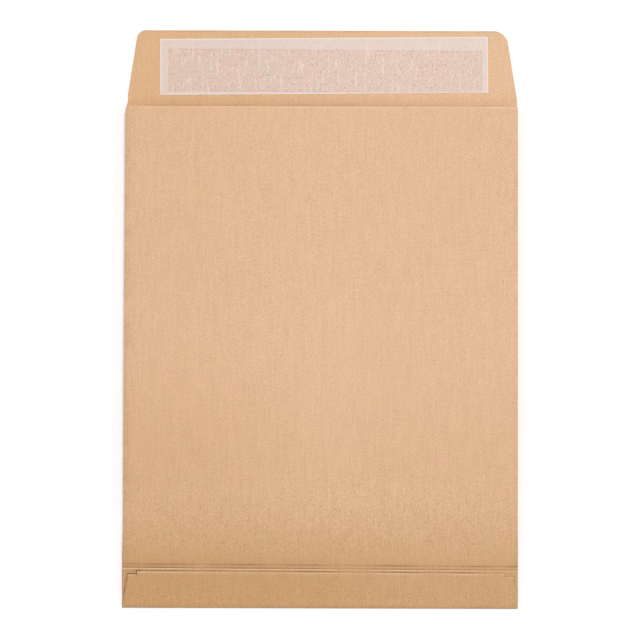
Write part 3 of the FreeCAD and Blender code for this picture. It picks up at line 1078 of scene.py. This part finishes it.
def liner_paper():
    """Silky liner paper; the adhesive under it shows as a darker, warmer rectangle."""
    material, tree, shader = paper_shader("liner_paper", LINER_ROUGHNESS)
    place = add(tree, "ShaderNodeTexCoord", {})
    centre = Vector((ADHESIVE_CENTRE[0], ADHESIVE_CENTRE[1], 0)) * MM
    moved = add(tree, "ShaderNodeMapping",
                {"Vector": place.outputs["Object"], "Location": centre,
                 "Rotation": (0, 0, ADHESIVE_TURN)}, vector_type="TEXTURE")
    split = add(tree, "ShaderNodeSeparateXYZ", {0: moved.outputs["Vector"]}).outputs
    half_size = (ADHESIVE_LENGTH / 2 * MM, ADHESIVE_WIDTH / 2 * MM)
    over = compute(tree, "MULTIPLY", *[band(tree, split[axis], half_size[axis], ADHESIVE_SOFTNESS)
                                       for axis in range(2)])
    inner = compute(tree, "MULTIPLY", *[
        band(tree, split[axis], half_size[axis] - OUTLINE_WIDTH, OUTLINE_SOFTNESS)
        for axis in range(2)])
    colour = blend(tree, over, linear(LINER_RIM, LINER_GAIN), linear(LINER_ON_ADHESIVE, LINER_GAIN))
    # Painted shade over the liner's left
    left = ramp(tree, split["X"], *LINER_LEFT_SHADE_ALONG_X)
    colour = blend(tree, left, colour, linear(LINER_LEFT_SHADE), "MULTIPLY")
    tacky = ramp(tree, over, *TACKY_RANGE)
    colour, noises = layered(tree, colour, LINER_LAYERS, tacky)
    outline = compute(tree, "MULTIPLY", compute(tree, "SUBTRACT", over, inner),
                      ramp(tree, noises[LINER_FIBRES], *OUTLINE_RANGE))
    colour = blend(tree, outline, colour, LINER_BROWN)
    colour = shade_and_highlight(tree, colour, painted_light_tone(tree), LINER_PAINTED_SHADE, LINER_PAINTED_HIGHLIGHT)
    set_surface(tree, shader, colour, noises[LINER_MOTTLE], LINER_BUMP)
    return material


def film(name, recipe, dark, light, roughness):
    """New material of a film of adhesive or glue, uneven between a dark and a light colour."""
    material, tree, shader = paper_shader(name, roughness)
    uneven = ramp(tree, stretched_noise(tree, *recipe), *FILM_RANGE)
    tree.links.new(blend(tree, uneven, dark, light), shader.inputs["Base Color"])
    return material


def dress_frame_nodes():
    """Gives the nodes that stay as built their materials: the clear tacky film of the adhesive,
    slightly amber, and the dry, cream-coloured glue."""
    tacky_film = film("adhesive_film", FILM_NOISE, ADHESIVE_DARK, ADHESIVE_LIGHT, FILM_ROUGHNESS)
    dry_glue = film("dry_glue", GLUE_NOISE, GLUE_DARK, GLUE_LIGHT, GLUE_ROUGHNESS)
    for name, material in (("adhesive_strip", tacky_film), ("seam_glue", dry_glue),
                           ("bottom_glue", dry_glue)):
        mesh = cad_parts[name].data
        mesh.materials.clear()
        mesh.materials.append(material)


# Light: a sun, and grey light all round
KEY_ELEVATION = math.radians(70)
KEY_AZIMUTH = math.radians(20)
KEY_WIDTH = math.radians(20)
KEY_SHARE = 0.6
AMBIENT = (0.42, 0.42, 0.42, 1.0)
WHITE = (1.0, 1.0, 1.0, 1.0)

# Floor and camera, in metres
FLOOR_SIZE = 6
FLOOR_Z = -0.0002
CAMERA_PLACE = (-0.0003, -0.0602, 1.5)
CAMERA_TILT = math.radians(2.25)
CAMERA_ROLL = math.radians(0.17)
CAMERA_LENS = 132.9
CAMERA_SENSOR = 36


def light():
    """Broad key light from high up beyond the flap, and a soft light all round. The camera sees
    white where it looks past everything."""
    sun = bpy.data.lights.new("key", "SUN")
    sun.energy = KEY_SHARE * math.pi / math.sin(KEY_ELEVATION)
    sun.angle = KEY_WIDTH
    key = bpy.data.objects.new("key", sun)
    bpy.context.scene.collection.objects.link(key)
    towards = Vector((math.sin(KEY_AZIMUTH) * math.cos(KEY_ELEVATION),
                      math.cos(KEY_AZIMUTH) * math.cos(KEY_ELEVATION), math.sin(KEY_ELEVATION)))
    key.rotation_euler = towards.to_track_quat("Z", "Y").to_euler()
    world = bpy.data.worlds.new("studio")
    world.use_nodes = True
    bpy.context.scene.world = world
    tree = world.node_tree
    soft = tree.nodes["Background"]
    soft.inputs["Color"].default_value = AMBIENT
    soft.inputs["Strength"].default_value = 1.0
    backdrop = add(tree, "ShaderNodeBackground", {"Color": WHITE, "Strength": 1.0})
    seen = add(tree, "ShaderNodeLightPath", {}).outputs["Is Camera Ray"]
    mixed = add(tree, "ShaderNodeMixShader",
                {0: seen, 1: soft.outputs[0], 2: backdrop.outputs[0]})
    tree.links.new(mixed.outputs[0], tree.nodes["World Output"].inputs["Surface"])


def table_top():
    """Plain white surface that the envelope lies on."""
    bpy.ops.object.select_all(action="DESELECT")
    bpy.ops.mesh.primitive_plane_add(size=FLOOR_SIZE, location=(0, 0, FLOOR_Z))
    floor = bpy.context.object
    floor.name = "floor"
    material, tree, shader = paper_shader("white_floor", PAPER_ROUGHNESS)
    shader.inputs["Base Color"].default_value = WHITE
    shader.inputs["Specular IOR Level"].default_value = 0.0
    floor.data.materials.append(material)


def camera():
    """Camera that looks down on the envelope, tipped slightly towards its flap."""
    lens = bpy.data.cameras.new("camera")
    lens.lens = CAMERA_LENS
    lens.sensor_width = CAMERA_SENSOR
    eye = bpy.data.objects.new("camera", lens)
    eye.location = CAMERA_PLACE
    eye.rotation_euler = (CAMERA_TILT, 0, CAMERA_ROLL)
    bpy.context.scene.collection.objects.link(eye)
    bpy.context.scene.camera = eye


def build():
    """Makes the pieces, dresses the frame's nodes and sets the stage."""
    body = kraft_body()
    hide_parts("kraft_sheet")
    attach(body, "root")
    sheet = liner()
    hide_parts("release_liner")
    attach(sheet, "root")
    dress_frame_nodes()
    table_top()
    light()
    camera()
    bpy.context.scene.view_settings.view_transform = "Standard"


build()
